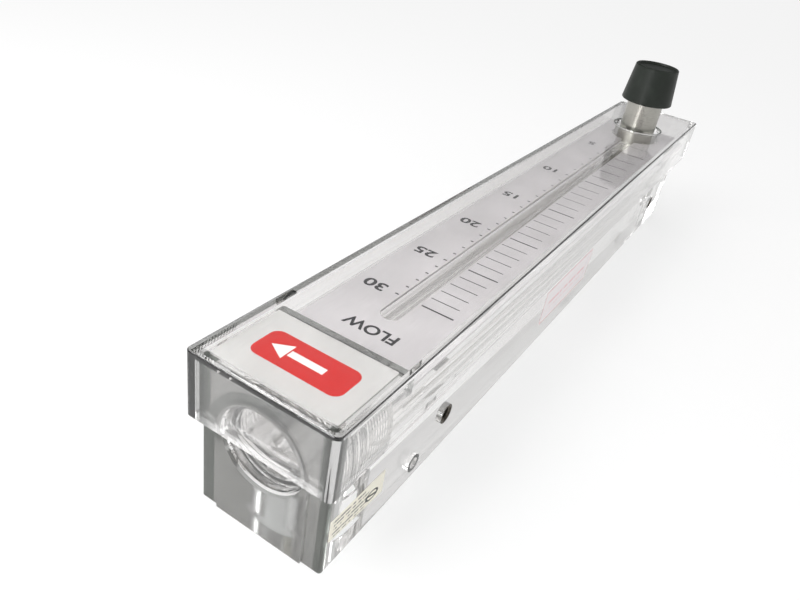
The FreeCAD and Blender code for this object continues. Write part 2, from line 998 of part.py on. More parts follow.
build_meter_body()
build_front_cover()
build_scale_plate()
build_badge_plate()
build_end_plug()
build_seals()
build_guide_rod()
build_float()
build_lower_stop()
build_valve_seat()
build_valve_barrel()
build_valve_stem()
build_knob()
build_set_screw()
build_side_inserts()
build_stickers()
doc.recompute()

failed = [thing.Name for thing in doc.Objects if {"Invalid", "Error"} & set(thing.State)]
if failed:
    raise RuntimeError(f"These objects failed: {failed}")
pieces = [thing for thing in doc.Objects if thing.isDerivedFrom("PartDesign::Body") or thing.TypeId in (
    "Part::Torus",
    "Part::Cylinder",
)]
for piece in pieces:
    if piece.Shape.isNull() or not piece.Shape.isValid():
        raise RuntimeError(f"{piece.Label} has no valid shape")

os.makedirs("parts", exist_ok=True)
for piece in pieces:
    piece.Shape.exportStep(os.path.join("parts", piece.Label + ".step"))
    box = piece.Shape.BoundBox
    print(
        f"{piece.Label:20s} {piece.Shape.Volume / 1000:8.3f} cm3  solids {len(piece.Shape.Solids)}"
        f"  x {box.XMin:.2f} {box.XMax:.2f}  y {box.YMin:.2f} {box.YMax:.2f}  z {box.ZMin:.2f} {box.ZMax:.2f}"
    )
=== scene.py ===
import json
import math

import bpy
from bpy.props import FloatProperty, FloatVectorProperty, IntProperty, PointerProperty
from mathutils import Matrix, Vector

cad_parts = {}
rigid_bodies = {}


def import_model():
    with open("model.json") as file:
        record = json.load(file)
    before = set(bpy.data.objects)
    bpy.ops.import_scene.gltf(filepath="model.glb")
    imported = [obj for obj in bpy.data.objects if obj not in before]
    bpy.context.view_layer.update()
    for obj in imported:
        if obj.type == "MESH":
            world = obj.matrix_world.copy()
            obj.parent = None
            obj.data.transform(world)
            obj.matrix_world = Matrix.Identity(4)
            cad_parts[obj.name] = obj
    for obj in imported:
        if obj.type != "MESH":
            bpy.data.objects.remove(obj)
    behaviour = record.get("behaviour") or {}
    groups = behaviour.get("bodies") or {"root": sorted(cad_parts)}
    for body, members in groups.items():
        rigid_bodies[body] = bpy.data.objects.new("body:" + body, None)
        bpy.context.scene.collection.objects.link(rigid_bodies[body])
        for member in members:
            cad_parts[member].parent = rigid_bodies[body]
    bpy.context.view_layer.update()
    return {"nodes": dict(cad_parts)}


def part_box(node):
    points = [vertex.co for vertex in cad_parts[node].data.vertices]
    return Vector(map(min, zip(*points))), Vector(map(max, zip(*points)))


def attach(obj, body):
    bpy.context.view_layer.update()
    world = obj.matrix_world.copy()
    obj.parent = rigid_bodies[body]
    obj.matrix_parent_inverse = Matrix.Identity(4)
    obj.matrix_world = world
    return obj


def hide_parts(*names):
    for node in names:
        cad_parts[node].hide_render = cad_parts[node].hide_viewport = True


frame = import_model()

bl_info = {
    "name": "Panel flow meter",
    "version": (1, 0, 0),
    "blender": (4, 5, 0),
    "location": "3D View > Sidebar > Flow meter",
    "description": "Dresses the clear flow meter: plastic, print, badge, stickers, steel and knob",
    "category": "Object",
}

# Lengths are in metres. X is the meter's width, Y its length with the outlet end at -Y and the
# valve at +Y, and Z rises out of the front face.
MM = 0.001
NODES = frame["nodes"]


def low(node):
    """The lowest corner of a node of the frame."""
    return Vector(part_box(node)[0])


def high(node):
    """The highest corner of a node of the frame."""
    return Vector(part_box(node)[1])


def middle(node):
    """The middle of a node's box."""
    return (low(node) + high(node)) / 2


# ---------------------------------------------------------------- settings


class ScaleSettings(bpy.types.PropertyGroup):
    """The marks and numbers printed on the scale."""

    highest: IntProperty(name="Highest flow", description="Last number on the scale", default=30)
    lowest: IntProperty(name="Lowest flow", description="First line above the valve", default=4)
    numbered: IntProperty(name="Numbered step", description="Flow between two numbers", default=5)
    zero: FloatProperty(
        name="Zero place",
        description="Where a flow of nothing would read",
        default=248.1 * MM,
        unit="LENGTH",
    )
    spread: FloatProperty(
        name="Spread",
        description="Distance from the zero place to a flow of 1",
        default=62.46 * MM,
        unit="LENGTH",
    )
    bend: FloatProperty(
        name="Bend",
        description="Power that crowds the marks at high flow",
        default=0.52,
    )
    inner: FloatProperty(
        name="Line start",
        description="From the middle to a line's inner end",
        default=4.5 * MM,
        unit="LENGTH",
    )
    major: FloatProperty(
        name="Major line",
        description="Length of a numbered line",
        default=12.1 * MM,
        unit="LENGTH",
    )
    minor: FloatProperty(
        name="Minor line",
        description="Length of a plain line",
        default=10.9 * MM,
        unit="LENGTH",
    )
    major_width: FloatProperty(
        name="Major width", description="Width of a numbered line", default=0.72 * MM, unit="LENGTH"
    )
    minor_width: FloatProperty(
        name="Minor width", description="Width of a plain line", default=0.44 * MM, unit="LENGTH"
    )
    tick: FloatProperty(
        name="Tick",
        description="Length of the short mark beside a number",
        default=1.4 * MM,
        unit="LENGTH",
    )
    tick_start: FloatProperty(
        name="Tick start",
        description="From the middle to a tick's inner end",
        default=4.6 * MM,
        unit="LENGTH",
    )
    digit: FloatProperty(
        name="Digit size",
        description="Text size of the numbers",
        default=7.0 * MM,
        unit="LENGTH",
    )
    digit_place: FloatProperty(
        name="Digit place",
        description="From the middle to a number's middle",
        default=13.8 * MM,
        unit="LENGTH",
    )
    word: FloatProperty(
        name="Word size",
        description="Text size of the word",
        default=6.8 * MM,
        unit="LENGTH",
    )
    word_side: FloatProperty(
        name="Word side",
        description="Place of the word's middle across",
        default=0.4 * MM,
        unit="LENGTH",
    )
    word_place: FloatProperty(
        name="Word place",
        description="Place of the word's middle along",
        default=-141.2 * MM,
        unit="LENGTH",
    )
    ink: FloatProperty(
        name="Ink",
        description="Thickness of the print",
        default=0.02 * MM,
        unit="LENGTH",
    )


class PlasticSettings(bpy.types.PropertyGroup):
    """The clear plastic."""

    tint: FloatVectorProperty(
        name="Tint",
        description="Colour of the surface",
        subtype="COLOR",
        size=3,
        default=(0.972, 0.965, 0.962),
    )
    deep: FloatVectorProperty(
        name="Deep tint",
        description="Colour of a thick piece",
        subtype="COLOR",
        size=3,
        default=(0.835, 0.83, 0.815),
    )
    density: FloatProperty(
        name="Density",
        description="How quickly thickness colours the plastic",
        default=4.5,
    )
    bending: FloatProperty(name="Index", description="Index of refraction", default=1.58)
    # Painted shade: this dark colour is blended into the clear plastic's tint where its cut edges,
    # end faces, wall tops and hole ring should look dark.
    edge: FloatVectorProperty(
        name="Edge",
        description="Colour of a cut edge",
        subtype="COLOR",
        size=3,
        default=(0.035, 0.042, 0.035),
    )
    haze: FloatProperty(name="Haze", description="Roughness of a face left as moulded", default=0.2)
    pitch: FloatProperty(
        name="Thread pitch",
        description="From turn to turn",
        default=1.27 * MM,
        unit="LENGTH",
    )


class MetalSettings(bpy.types.PropertyGroup):
    """The metal pieces and their print."""

    plate: FloatVectorProperty(
        name="Scale plate",
        description="Colour of the scale",
        subtype="COLOR",
        size=3,
        default=(0.73, 0.705, 0.72),
    )
    badge: FloatVectorProperty(
        name="Badge",
        description="Colour of the badge",
        subtype="COLOR",
        size=3,
        default=(0.70, 0.695, 0.685),
    )
    steel: FloatVectorProperty(
        name="Steel",
        description="Colour of turned steel",
        subtype="COLOR",
        size=3,
        default=(0.44, 0.43, 0.395),
    )
    red: FloatVectorProperty(
        name="Badge red",
        description="Printed red",
        subtype="COLOR",
        size=3,
        default=(0.56, 0.012, 0.010),
    )


class BadgeSettings(bpy.types.PropertyGroup):
    """The plain panel and arrow printed on the badge."""

    panel_length: FloatProperty(
        name="Panel length", description="Length of the panel", default=31 * MM, unit="LENGTH"
    )
    panel_width: FloatProperty(
        name="Panel width", description="Width of the panel", default=13 * MM, unit="LENGTH"
    )
    panel_corner: FloatProperty(
        name="Panel corner", description="Radius of its corners", default=3.2 * MM, unit="LENGTH"
    )
    head: FloatProperty(
        name="Head", description="Radius of the arrow's head", default=4 * MM, unit="LENGTH"
    )
    head_place: FloatProperty(
        name="Head place", description="From middle to head", default=-8 * MM, unit="LENGTH"
    )
    tail_length: FloatProperty(
        name="Tail length", description="Length of the tail", default=12 * MM, unit="LENGTH"
    )
    tail_width: FloatProperty(
        name="Tail width", description="Width of the tail", default=2.6 * MM, unit="LENGTH"
    )
    tail_place: FloatProperty(
        name="Tail place", description="From middle to tail", default=0.5 * MM, unit="LENGTH"
    )


class LabelSettings(bpy.types.PropertyGroup):
    """The two paper stickers."""

    cream: FloatVectorProperty(
        name="Cream",
        description="Paper of the small sticker",
        subtype="COLOR",
        size=3,
        default=(0.93, 0.89, 0.77),
    )
    red: FloatVectorProperty(
        name="Red",
        description="Print of the long sticker",
        subtype="COLOR",
        size=3,
        default=(0.78, 0.20, 0.22),
    )
    glue: FloatProperty(
        name="Glue",
        description="Film of glue behind a sticker",
        default=0.05 * MM,
        unit="LENGTH",
    )
    foot_drop: FloatProperty(
        name="Foot drop",
        description="Slant of the small sticker's lower edge",
        default=2.3 * MM,
        unit="LENGTH",
    )
    head_drop: FloatProperty(
        name="Head drop",
        description="Slant of the small sticker's upper edge",
        default=1.3 * MM,
        unit="LENGTH",
    )
    mark_place: FloatProperty(
        name="Mark place",
        description="From the small sticker's far end to its mark",
        default=6.2 * MM,
        unit="LENGTH",
    )
    mark_length: FloatProperty(
        name="Mark length",
        description="Length of the small sticker's oval mark",
        default=6.8 * MM,
        unit="LENGTH",
    )


class KnobSettings(bpy.types.PropertyGroup):
    """The knob."""

    colour: FloatVectorProperty(
        name="Knob",
        description="Colour of the knob",
        subtype="COLOR",
        size=3,
        default=(0.015, 0.019, 0.015),
    )


class StageSettings(bpy.types.PropertyGroup):
    """The camera, lamps and floor."""

    lens: FloatProperty(name="Lens", description="Focal length in millimetres", default=31.62)
    place: FloatVectorProperty(
        name="Camera place",
        description="Where the camera stands",
        subtype="XYZ",
        size=3,
        default=(0.0879, -0.2953, 0.1716),
    )
    fill: FloatProperty(name="Fill", description="Strength of the surrounding light", default=0.8)


# ---------------------------------------------------------------- shader words


class Wire:
    """One output socket of a material. Arithmetic on it adds Math nodes."""

    def __init__(self, paint, socket):
        self.paint = paint
        self.socket = socket

    def maths(self, operation, first, second=None):
        inputs = {0: first} if second is None else {0: first, 1: second}
        return self.paint.node("ShaderNodeMath", {"operation": operation}, inputs)

    def __add__(self, other):
        return self.maths("ADD", self, other)

    __radd__ = __add__

    def __sub__(self, other):
        return self.maths("SUBTRACT", self, other)

    def __rsub__(self, other):
        return self.maths("SUBTRACT", other, self)

    def __mul__(self, other):
        return self.maths("MULTIPLY", self, other)

    __rmul__ = __mul__

    def __truediv__(self, other):
        return self.maths("DIVIDE", self, other)

    def __rtruediv__(self, other):
        return self.maths("DIVIDE", other, self)

    def __gt__(self, other):
        return self.maths("GREATER_THAN", self, other)

    def __lt__(self, other):
        return self.maths("LESS_THAN", self, other)

    def __mod__(self, other):
        return self.maths("MODULO", self, other)

    def __abs__(self):
        return self.maths("ABSOLUTE", self)

    def least(self, other):
        return self.maths("MINIMUM", self, other)

    def most(self, other):
        return self.maths("MAXIMUM", self, other)


class Paint:
    """A material or world under construction."""

    def __init__(self, block):
        self.block = block
        block.use_nodes = True
        self.tree = block.node_tree
        self.tree.nodes.clear()

    def node(self, kind, settings=None, inputs=None, output=0):
        """Adds a node, sets it up, plugs its inputs and returns one of its outputs."""
        made = self.tree.nodes.new(kind)
        for name, value in (settings or {}).items():
            setattr(made, name, value)
        for key, value in (inputs or {}).items():
            if isinstance(value, Wire):
                self.tree.links.new(value.socket, made.inputs[key])
            else:
                made.inputs[key].default_value = value
        return Wire(self, made.outputs[output]) if made.outputs else made

    def axes(self, kind="Object"):
        """The object's own x, y and z, or those of another kind of coordinates."""
        coordinates = self.node("ShaderNodeTexCoord", output=kind)
        split = self.tree.nodes.new("ShaderNodeSeparateXYZ")
        self.tree.links.new(coordinates.socket, split.inputs[0])
        return [Wire(self, socket) for socket in split.outputs]

    def stretched(self, x, y, z):
        """Object coordinates stretched along each axis."""
        coordinates = self.node("ShaderNodeTexCoord", output="Object")
        return self.node("ShaderNodeMapping", {}, {"Vector": coordinates, "Scale": (x, y, z)})

    def noise(self, vector, scale, detail=3.0, roughness=0.5):
        """A noise between 0 and 1."""
        inputs = {"Vector": vector, "Scale": scale, "Detail": detail, "Roughness": roughness}
        return self.node("ShaderNodeTexNoise", {}, inputs)

    def ramp(self, value, start, end):
        """0 below start, 1 above end, smooth between."""
        inputs = {"Value": value, "From Min": start, "From Max": end}
        return self.node("ShaderNodeMapRange", {"interpolation_type": "SMOOTHSTEP"}, inputs)

    def between(self, value, start, end):
        """1 where a value lies between two others."""
        return (value > start) * (value < end)

    def blend(self, amount, first, second):
        """A colour between two others."""
        inputs = {"Factor": amount, "A": first, "B": second}
        return self.node("ShaderNodeMix", {"data_type": "RGBA"}, inputs, output="Result")

    def bump(self, height, strength, distance):
        """A normal from a height."""
        inputs = {"Height": height, "Strength": strength, "Distance": distance}
        return self.node("ShaderNodeBump", {}, inputs)

    def surface(self, **inputs):
        """The shader, with its inputs by name."""
        named = {name.replace("_", " "): value for name, value in inputs.items()}
        return self.node("ShaderNodeBsdfPrincipled", {}, named)

    def finish(self, shader, volume=None):
        """Plugs the shader into the output."""
        inputs = {"Surface": shader}
        if volume:
            inputs["Volume"] = volume
        self.node("ShaderNodeOutputMaterial", {}, inputs)
        return self.block


def colour(values):
    """Four numbers for a colour socket."""
    return (values[0], values[1], values[2], 1.0)


def scaled(values, factor, lift=0.0):
    """A colour made darker or paler, and never past white."""
    return colour([min(1.0, factor * value + lift) for value in values])


def new_paint(name):
    """An empty material."""
    return Paint(bpy.data.materials.new(name))


# ---------------------------------------------------------------- clear plastic

# Depth of the moulding waves and of the thread's ridges at full strength.
WAVE_DEPTH = 0.4 * MM
# Roughness of a polished face, and what its scuffs add.
POLISH = 0.015
SCUFFS = 0.05
# What a lamp's light keeps when it passes a face on its way to something else.
LAMPLIGHT = (0.93, 0.94, 0.935, 1)
# Added to y before its remainder is taken, because that has to be a positive number.
PAST_ZERO = 1.0

# How far behind an end face the mask of that face reaches.
FACE_DEPTH = 1.2 * MM
# How dark the painted shade makes the block's end face, its land's far wall and the plug's face,
# from 0 to 1.
BODY_FACE_SHADE = 0.8
LAND_SHADE = 0.9
PLUG_FACE_SHADE = 0.42
# Where painted shade darkens the upright edges, measured across from the middle.
BODY_LEFT_EDGE = (17.0 * MM, 18.0 * MM)
BODY_RIGHT_EDGE = (19.2 * MM, 20.2 * MM)
COVER_LEFT_EDGE = (17.6 * MM, 18.6 * MM)
COVER_RIGHT_EDGE = (20.4 * MM, 21.6 * MM)
# The arch of painted shade round the plug: its inner and outer radius, and how it fades in up to
# the left.
ARCH = (15.2 * MM, 18.6 * MM)
ARCH_FADE = (2 * MM, 12 * MM)
# The ring of painted shade at the cover's hole for the valve.
HOLE_RING = (13.3 * MM, 14.4 * MM)


def clear_plastic(name, settings, waviness, shaded=None, threaded=None, hazed=None):
    """Polished clear plastic that lets lamps through, with faint moulding waves in its faces.

    shaded, threaded and hazed are functions of the object's axes: where the first is 1 painted
    shade darkens the plastic's tint, standing in for the dark look of its cut edges, where the
    second is 1 a thread runs round the tube's axis, and where the third is 1 the face is left as it
    came from the mould, with a haze.
    """
    paint = new_paint(name)
    x, y, z = paint.axes()
    height = paint.noise(paint.stretched(1, 0.35, 1), scale=55, detail=2) * waviness
    if threaded:
        turn = ((y + PAST_ZERO) / settings.pitch) % 1
        height = height + abs(turn - 0.5) * threaded(paint, x, y, z)
    tint = colour(settings.tint)
    # Painted shade: where shaded is 1 the tint is blended towards the dark edge shade colour.
    if shaded:
        tint = paint.blend(shaded(paint, x, y, z), tint, colour(settings.edge))
    marks = paint.noise(paint.stretched(1, 1, 1), scale=900, detail=2)
    rough = POLISH + SCUFFS * paint.ramp(marks, 0.62, 0.8)
    if hazed:
        rough = rough + settings.haze * hazed(paint, x, y, z)
    glass = paint.surface(
        Base_Color=tint,
        Roughness=rough,
        IOR=settings.bending,
        Transmission_Weight=1.0,
        Normal=paint.bump(height, 1.0, WAVE_DEPTH),
    )
    clear = paint.node("ShaderNodeBsdfTransparent", {}, {"Color": LAMPLIGHT})
    shadow = paint.node("ShaderNodeLightPath", output="Is Shadow Ray")
    body = paint.node("ShaderNodeMixShader", {}, {0: shadow, 1: glass, 2: clear})
    inside = paint.node(
        "ShaderNodeVolumeAbsorption",
        {},
        {"Color": colour(settings.deep), "Density": settings.density},
    )
    return paint.finish(body, inside)


def squared(limits):
    """The squares of two radii."""
    return [radius**2 for radius in limits]


def from_tube(x, z):
    """How far a point is from the tube's axis, squared, and how far above it."""
    rise = z - middle("end_plug").z
    return x * x + rise * rise, rise


def body_edges(paint, x, y, z):
    """Painted shade on the block's upright edges beside the arch, its end face, the arch round the
    plug and the far wall of its land.
    """
    near = low("meter_body").y
    edge_depth = 2.5 * MM
    edges = paint.ramp(0 - x, *BODY_LEFT_EDGE).most(paint.ramp(x, *BODY_RIGHT_EDGE))
    side = edges * (y < near + edge_depth)
    wall_start = high("badge_plate").y - 0.2 * MM
    wall_end = low("scale_plate").y + 0.4 * MM
    wall_foot = low("scale_plate").z + 1.0 * MM
    wall = paint.between(y, wall_start, wall_end) * (z > wall_foot)
    end_face = y < near + FACE_DEPTH
    around, rise = from_tube(x, z)
    arch = paint.between(around, *squared(ARCH)) * end_face * paint.ramp(rise - x, *ARCH_FADE)
    return side.most(wall * LAND_SHADE).most(arch).most(end_face * BODY_FACE_SHADE)


def body_haze(paint, x, y, z):
    """The block's end face round the plug."""
    return y < low("meter_body").y + FACE_DEPTH


def body_thread(paint, x, y, z):
    """The thread cut in the block's bore at the outlet end."""
    bore = from_tube(x, z)[0] < ARCH[0] ** 2
    thread_end = low("scale_plate").y - 3.0 * MM
    return bore * (y < thread_end) * (y > low("end_plug").y)


def plug_face(paint, x, y, z):
    """Painted shade on the plug's face and driver slot, to make them look a little dark against the
    white room.
    """
    slot_depth = 4.0 * MM
    return (y < low("end_plug").y + slot_depth) * PLUG_FACE_SHADE


def plug_haze(paint, x, y, z):
    """The plug's face, less polished than its sides."""
    face_depth, share = 0.5 * MM, 0.6
    return (y < low("end_plug").y + face_depth) * share


def cover_edges(paint, x, y, z):
    """Painted shade on the cover's upright corners, the tops of its side walls and a ring round its
    hole.
    """
    corner_length, corner_shade = 3.4 * MM, 0.55
    left_width, left_shade = 2.7 * MM, 0.85
    right_width, right_shade = 1.0 * MM, 0.4
    top_depth = 0.75 * MM
    lowest, highest = low("front_cover"), high("front_cover")
    corners = paint.ramp(0 - x, *COVER_LEFT_EDGE).most(paint.ramp(x, *COVER_RIGHT_EDGE))
    ends = abs(y) > highest.y - corner_length
    top = z > highest.z - top_depth
    left_wall = (x < lowest.x + left_width) * left_shade
    right_wall = (x > highest.x - right_width) * right_shade
    away = y - middle("valve_barrel").y
    hole = paint.between(x * x + away * away, *squared(HOLE_RING))
    return (corners * ends * corner_shade).most(top * left_wall.most(right_wall).most(hole))


# ---------------------------------------------------------------- other finishes

CARBON = (0.03, 0.03, 0.03)
RUBBER = (0.02, 0.02, 0.02)
WHITE_PLASTIC = (0.74, 0.74, 0.71)
DARK_BRASS = (0.045, 0.04, 0.035, 1)
PALE_BRASS = (0.20, 0.18, 0.15, 1)
BLACK_INK = (0.016, 0.016, 0.018)
WHITE_INK = (0.82, 0.82, 0.81)
GREY_PRINT = (0.10, 0.10, 0.10, 1)
MARK_PRINT = (0.03, 0.035, 0.03, 1)
DULL_PAPER = (0.88, 0.83, 0.84, 1)
BRIGHT_PAPER = (0.95, 0.91, 0.92, 1)


def brushed_plate(name, base):
    """Matt anodised metal with a fine lengthwise brush and soft blotches."""
    paint = new_paint(name)
    lines = paint.noise(paint.stretched(1, 0.02, 1), scale=5200, detail=3, roughness=0.7)
    blotches = paint.noise(paint.stretched(1, 1, 1), scale=45, detail=4)
    tone = paint.ramp(0.5 * lines + 0.5 * blotches, 0.3, 0.7)
    return paint.finish(
        paint.surface(
            Base_Color=paint.blend(tone, scaled(base, 0.88), scaled(base, 1.09)),
            Metallic=0.35,
            Roughness=0.42 + 0.16 * lines,
            Normal=paint.bump(lines, 0.12, 0.02 * MM),
        )
    )


def turned_steel(name, base, axis):
    """Turned stainless steel, with rings round the given axis."""
    paint = new_paint(name)
    stretch = [0.02, 0.02, 0.02]
    stretch[axis] = 1
    rings = paint.noise(paint.stretched(*stretch), scale=9000, detail=4, roughness=0.6)
    smears = paint.noise(paint.stretched(1, 1, 1), scale=120, detail=3)
    tone = paint.ramp(rings * 0.7 + smears * 0.3, 0.35, 0.65)
    return paint.finish(
        paint.surface(
            Base_Color=paint.blend(tone, scaled(base, 0.82), colour(base)),
            Metallic=1.0,
            Roughness=0.2 + 0.12 * rings + 0.06 * smears,
            Normal=paint.bump(rings, 0.1, 0.01 * MM),
        )
    )


def satin_plastic(name, base, roughness, grain, depth=0.02 * MM):
    """Moulded plastic with a fine grain, a little paler where hands have rubbed it."""
    paint = new_paint(name)
    fine = paint.noise(paint.stretched(1, 1, 1), scale=grain, detail=4, roughness=0.6)
    rubbed = paint.noise(paint.stretched(1, 1, 1), scale=90, detail=3)
    tone = paint.ramp(rubbed, 0.5, 0.8)
    return paint.finish(
        paint.surface(
            Base_Color=paint.blend(tone, colour(base), scaled(base, 1.5, 0.004)),
            Roughness=roughness + 0.12 * fine,
            Specular_IOR_Level=0.3,
            Normal=paint.bump(fine, 0.3, depth),
        )
    )


def knurled_brass(name):
    """Dull brass of a threaded insert, with darker and paler patches of tarnish."""
    paint = new_paint(name)
    tarnish = paint.noise(paint.stretched(1, 1, 1), scale=700, detail=4)
    return paint.finish(
        paint.surface(
            Base_Color=paint.blend(paint.ramp(tarnish, 0.35, 0.7), DARK_BRASS, PALE_BRASS),
            Metallic=1.0,
            Roughness=0.3 + 0.3 * tarnish,
        )
    )


def printed_ink(name, base, roughness):
    """A film of printing ink, slightly uneven."""
    paint = new_paint(name)
    uneven = paint.noise(paint.stretched(1, 1, 1), scale=1500, detail=2)
    tone = paint.ramp(uneven, 0.4, 0.8)
    return paint.finish(
        paint.surface(
            Specular_IOR_Level=0.2,
            Base_Color=paint.blend(tone, colour(base), scaled(base, 1.1, 0.004)),
            Roughness=roughness + 0.1 * uneven,
        )
    )


def printed_paper(paint, fibre, ink_amount, paper, ink):
    """The shader of printed paper."""
    base = paint.blend(ink_amount, paper, ink)
    return paint.finish(paint.surface(Base_Color=base, Roughness=0.5 + 0.15 * fibre))


def rows_of_print(paint, up, rows, inked, margins):
    """1 on rows of print: how many there are, the inked part of a row, and where they stop."""
    return paint.between((up * rows) % 1, *inked) * paint.between(up, *margins)


def small_label(name, label):
    """Cream paper with rows of fine grey print that say nothing, and a dark oval mark."""
    paint = new_paint(name)
    x, y, z = paint.axes()
    start = low("small_sticker")
    end = high("small_sticker")
    along = (y - start.y) / (end.y - start.y)
    foot = start.z + label.foot_drop * (1 - along)
    head = end.z - label.head_drop * along
    up = (z - foot) / (head - foot)
    row = rows_of_print(paint, up, rows=5.5, inked=(0.3, 0.78), margins=(0.08, 0.93))
    words = paint.noise(paint.stretched(0, 1, 0.35), scale=700, detail=2, roughness=0.8) > 0.48
    inked = row * words * paint.between(along, 0.05, 0.7)
    mark_height, slimness = 0.36, 1.55
    away = (y - (end.y - label.mark_place)) / label.mark_length
    rise = (up - mark_height) * (end.z - start.z) / label.mark_length * slimness
    oval = away * away + rise * rise
    rim = paint.between(oval, 0.13, 0.25)
    bar = paint.between(rise + away * 0.5, -0.1, 0.1) * (oval < 0.25)
    fibre = paint.noise(paint.stretched(1, 1, 1), scale=2200, detail=4)
    paper = paint.blend(fibre, scaled(label.cream, 0.92), colour(label.cream))
    printed = paint.blend(inked * 0.8, paper, GREY_PRINT)
    return printed_paper(paint, fibre, rim.most(bar), printed, MARK_PRINT)


def long_label(name, label):
    """White paper with a thin red border and faint red print that says nothing."""
    paint = new_paint(name)
    x, y, z = paint.axes()
    start = low("long_sticker")
    end = high("long_sticker")
    inset = (y - start.y).least(end.y - y).least(z - start.z).least(end.z - z) / MM
    border = paint.between(inset, 0.0, 0.35)
    up = (z - start.z) / (end.z - start.z)
    row = rows_of_print(paint, up, rows=4.6, inked=(0.25, 0.75), margins=(0.12, 0.88))
    words = paint.noise(paint.stretched(0, 1, 0.4), scale=620, detail=2, roughness=0.7) > 0.47
    inner_part = paint.ramp(inset, 3.0, 9.0)
    fibre = paint.noise(paint.stretched(1, 1, 1), scale=2200, detail=4)
    paper = paint.blend(fibre, DULL_PAPER, BRIGHT_PAPER)
    inked = paint.blend(row * words * inner_part * 0.42, paper, colour(label.red))
    return printed_paper(paint, fibre, border * 0.7, inked, colour(label.red))


# ---------------------------------------------------------------- modelling words

# Points nearer than this are one point.
MERGE = 0.001 * MM
# How much the letters are thickened, as a share of their size.
LETTER_WEIGHT = 0.026


def only(piece):
    """Selects one object and nothing else."""
    clear_selection()
    piece.select_set(True)
    bpy.context.view_layer.objects.active = piece


def clear_selection():
    """Deselects every object."""
    for thing in bpy.context.view_layer.objects:
        thing.select_set(False)
    bpy.context.view_layer.objects.active = None


def settle(piece):
    """Moves an object's place, turn and size into its mesh."""
    only(piece)
    bpy.ops.object.transform_apply(location=True, rotation=True, scale=True)


def joined(pieces):
    """Makes one object of several."""
    only(pieces[0])
    for piece in pieces[1:]:
        piece.select_set(True)
    bpy.ops.object.join()
    return bpy.context.view_layer.objects.active


def thicken(piece, thick, corner=0.0):
    """Gives a flat piece a thickness upwards, its corners rounded first if asked."""
    only(piece)
    bpy.ops.object.mode_set(mode="EDIT")
    bpy.ops.mesh.select_all(action="SELECT")
    if corner:
        bpy.ops.mesh.bevel(affect="VERTICES", offset=corner, segments=6)
        bpy.ops.mesh.select_all(action="SELECT")
    bpy.ops.mesh.extrude_region_move(TRANSFORM_OT_translate={"value": (0, 0, thick)})
    bpy.ops.mesh.select_all(action="SELECT")
    bpy.ops.mesh.normals_make_consistent(inside=False)
    bpy.ops.object.mode_set(mode="OBJECT")


def printed_bar(length, width, thick, corner=0.0):
    """A flat printed bar along X, standing on z = 0 round the origin."""
    clear_selection()
    bpy.ops.mesh.primitive_plane_add(size=1, location=(0, 0, 0))
    bar = bpy.context.view_layer.objects.active
    bar.scale = (length, width, 1)
    settle(bar)
    thicken(bar, thick, corner)
    return bar


def helical_groove(radius, size, pitch, turns):
    """A V-shaped ridge wound round Z, its broad side at the radius, to cut a thread with."""
    clear_selection()
    bpy.ops.mesh.primitive_circle_add(
        vertices=3, radius=size, location=(0, 0, 0), rotation=(0, 0, math.pi / 2)
    )
    ridge = bpy.context.view_layer.objects.active
    settle(ridge)
    ridge.rotation_euler = (math.pi / 2, 0, 0)
    ridge.location = (radius - size / 2, 0, 0)
    settle(ridge)
    winding = ridge.modifiers.new("winding", "SCREW")
    winding.axis = "Z"
    winding.angle = 2 * math.pi
    winding.steps = TURN_STEPS
    winding.render_steps = TURN_STEPS
    winding.iterations = turns
    winding.screw_offset = pitch
    bpy.ops.object.modifier_apply(modifier="winding")
    bpy.ops.object.mode_set(mode="EDIT")
    bpy.ops.mesh.select_all(action="SELECT")
    bpy.ops.mesh.remove_doubles(threshold=MERGE)
    bpy.ops.mesh.fill_holes(sides=4)
    bpy.ops.mesh.select_all(action="SELECT")
    bpy.ops.mesh.normals_make_consistent(inside=False)
    bpy.ops.object.mode_set(mode="OBJECT")
    return ridge


def copy_at(pattern, place):
    """A copy of a pattern piece, with its own mesh, at a place."""
    twin = pattern.copy()
    twin.data = pattern.data.copy()
    bpy.context.scene.collection.objects.link(twin)
    twin.location = place
    return twin


def copied_node(node, name):
    """A new piece in the shape of a node of the frame, its loose triangles merged."""
    piece = bpy.data.objects.new(name, bpy.data.meshes.new_from_object(NODES[node]))
    bpy.context.scene.collection.objects.link(piece)
    only(piece)
    bpy.ops.object.mode_set(mode="EDIT")
    bpy.ops.mesh.select_all(action="SELECT")
    bpy.ops.mesh.remove_doubles(threshold=MERGE)
    bpy.ops.mesh.select_all(action="DESELECT")
    bpy.ops.object.mode_set(mode="OBJECT")
    return piece


def discard(piece):
    """Removes a pattern piece."""
    bpy.data.objects.remove(piece)


def lettering(text, size, width, thick, place):
    """Words made of mesh, read with -Y up, centred on a place."""
    clear_selection()
    bpy.ops.object.text_add(location=place, rotation=(0, 0, math.pi))
    words = bpy.context.view_layer.objects.active
    words.data.body = text
    words.data.size = size
    words.data.align_x = "CENTER"
    words.data.align_y = "CENTER"
    words.data.extrude = thick / 2
    words.data.offset = LETTER_WEIGHT * size
    words.data.resolution_u = 6
    words.scale = (width, 1, 1)
    only(words)
    bpy.ops.object.convert(target="MESH")
    words = bpy.context.view_layer.objects.active
    settle(words)
    return words


def dress(piece, name, body, material):
    """Names a finished piece and gives it its body and its material."""
    piece.name = name
    piece.data.name = name
    piece.data.materials.clear()
    piece.data.materials.append(material)
    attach(piece, body)


def paint_nodes(nodes, material):
    """Gives nodes of the frame a material in place of their own."""
    for node in nodes:
        for slot in NODES[node].material_slots:
            slot.material = material


